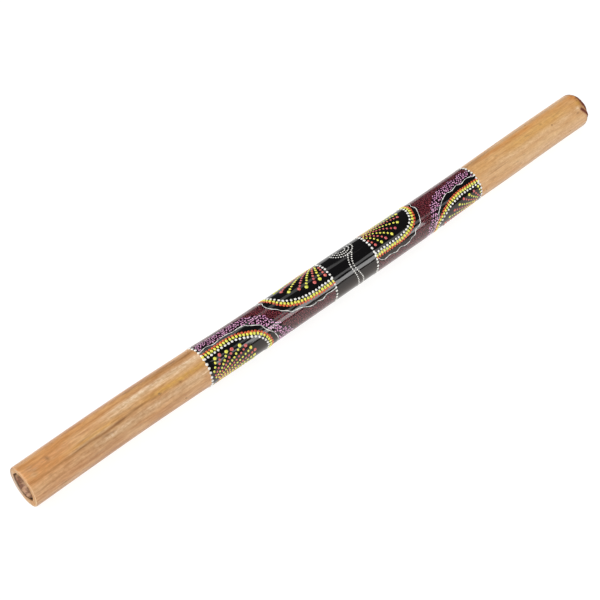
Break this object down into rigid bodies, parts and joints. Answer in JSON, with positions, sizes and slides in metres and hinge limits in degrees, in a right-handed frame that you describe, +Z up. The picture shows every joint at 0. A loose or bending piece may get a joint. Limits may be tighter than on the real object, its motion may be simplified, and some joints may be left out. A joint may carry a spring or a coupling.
{
  "type": "rainstick",
  "caption": "Bamboo rainstick: a closed hollow culm with a helix of pins across its bore, loose pebbles that fall from end to end, and a painted middle band.",
  "frame": {"origin": "on the resting surface, under the middle of the stick lying on its side", "axes": "+X along the stick, from the plugged end to the end closed by the bamboo's own node; +Z up from the resting surface"},
  "size_m": [0.603, 0.0356, 0.033],
  "materials": {
    "bamboo": "satin",
    "end_wood": "matte",
    "pin_bamboo": "matte",
    "pebble": "matte",
    "band_coat": "gloss",
    "paint_white": "gloss",
    "paint_yellow": "gloss",
    "paint_red": "gloss",
    "paint_lilac": "gloss",
    "paint_maroon": "gloss"
  },
  "bodies": {
    "stick": {"bamboo_tube": "bamboo", "end_plug": "end_wood", "pin_01": "pin_bamboo", "pin_02": "pin_bamboo", "pin_03": "pin_bamboo", "pin_04": "pin_bamboo", "pin_05": "pin_bamboo", "pin_06": "pin_bamboo", "pin_07": "pin_bamboo", "pin_08": "pin_bamboo", "pin_09": "pin_bamboo", "pin_10": "pin_bamboo", "pin_11": "pin_bamboo", "pin_12": "pin_bamboo", "pin_13": "pin_bamboo", "pin_14": "pin_bamboo", "pin_15": "pin_bamboo", "pin_16": "pin_bamboo", "pin_17": "pin_bamboo", "pin_18": "pin_bamboo", "pin_19": "pin_bamboo", "pin_20": "pin_bamboo", "pin_21": "pin_bamboo", "pin_22": "pin_bamboo", "pin_23": "pin_bamboo", "pin_24": "pin_bamboo", "pin_25": "pin_bamboo", "pin_26": "pin_bamboo", "pin_27": "pin_bamboo", "pin_28": "pin_bamboo", "pin_29": "pin_bamboo", "pin_30": "pin_bamboo", "pin_31": "pin_bamboo"},
    "falling_pebble_01": {"pebble_01": "pebble"},
    "falling_pebble_02": {"pebble_02": "pebble"},
    "falling_pebble_03": {"pebble_03": "pebble"},
    "falling_pebble_04": {"pebble_04": "pebble"},
    "falling_pebble_05": {"pebble_05": "pebble"},
    "falling_pebble_06": {"pebble_06": "pebble"},
    "falling_pebble_07": {"pebble_07": "pebble"},
    "falling_pebble_08": {"pebble_08": "pebble"},
    "falling_pebble_09": {"pebble_09": "pebble"},
    "falling_pebble_10": {"pebble_10": "pebble"}
  },
  "joints": [
    {"name": "pebble_01_fall", "type": "slide", "parent": "stick", "child": "falling_pebble_01", "axis": [1, 0, 0], "range_m": [0, 0.5867]},
    {"name": "pebble_02_fall", "type": "slide", "parent": "stick", "child": "falling_pebble_02", "axis": [1, 0, 0], "range_m": [0, 0.5867]},
    {"name": "pebble_03_fall", "type": "slide", "parent": "stick", "child": "falling_pebble_03", "axis": [1, 0, 0], "range_m": [0, 0.5867]},
    {"name": "pebble_04_fall", "type": "slide", "parent": "stick", "child": "falling_pebble_04", "axis": [1, 0, 0], "range_m": [0, 0.5867]},
    {"name": "pebble_05_fall", "type": "slide", "parent": "stick", "child": "falling_pebble_05", "axis": [1, 0, 0], "range_m": [0, 0.5867]},
    {"name": "pebble_06_fall", "type": "slide", "parent": "stick", "child": "falling_pebble_06", "axis": [1, 0, 0], "range_m": [0, 0.5867]},
    {"name": "pebble_07_fall", "type": "slide", "parent": "stick", "child": "falling_pebble_07", "axis": [1, 0, 0], "range_m": [0, 0.5867]},
    {"name": "pebble_08_fall", "type": "slide", "parent": "stick", "child": "falling_pebble_08", "axis": [1, 0, 0], "range_m": [0, 0.5867]},
    {"name": "pebble_09_fall", "type": "slide", "parent": "stick", "child": "falling_pebble_09", "axis": [1, 0, 0], "range_m": [0, 0.5867]},
    {"name": "pebble_10_fall", "type": "slide", "parent": "stick", "child": "falling_pebble_10", "axis": [1, 0, 0], "range_m": [0, 0.5867]}
  ]
}
